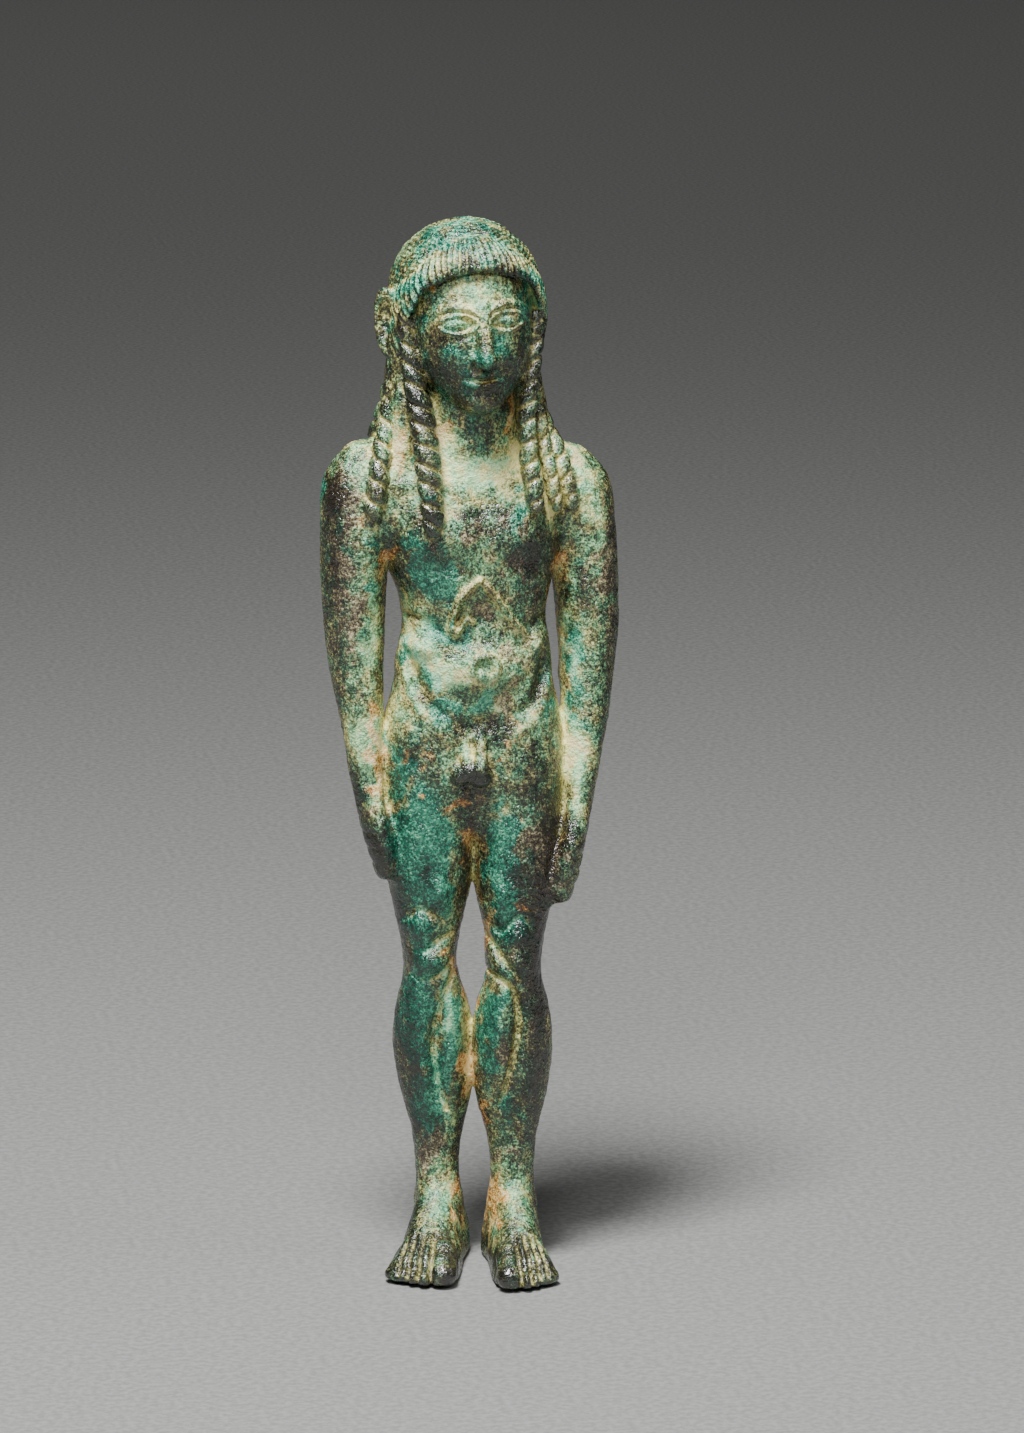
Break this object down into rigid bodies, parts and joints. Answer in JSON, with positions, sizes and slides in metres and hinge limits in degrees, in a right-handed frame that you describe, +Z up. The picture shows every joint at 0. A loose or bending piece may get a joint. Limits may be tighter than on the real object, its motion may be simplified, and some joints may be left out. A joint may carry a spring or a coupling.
{
  "type": "kouros statuette",
  "caption": "Small standing nude youth in patinated bronze, arms at the sides, left leg advanced, long twisted locks; stands on its flat soles",
  "frame": {"origin": "on the ground, under the middle of the figure's bounding box", "axes": "+Z up along the figure, -Y the way the figure faces, +X towards the figure's left hand"},
  "size_m": [0.0368, 0.029, 0.13],
  "materials": {
    "bronze": "cast bronze with a mottled green, mint and brown patina, rubbed dark on the toes and locks"
  },
  "bodies": {
    "root": {"kouros_figure": "bronze"}
  },
  "joints": []
}
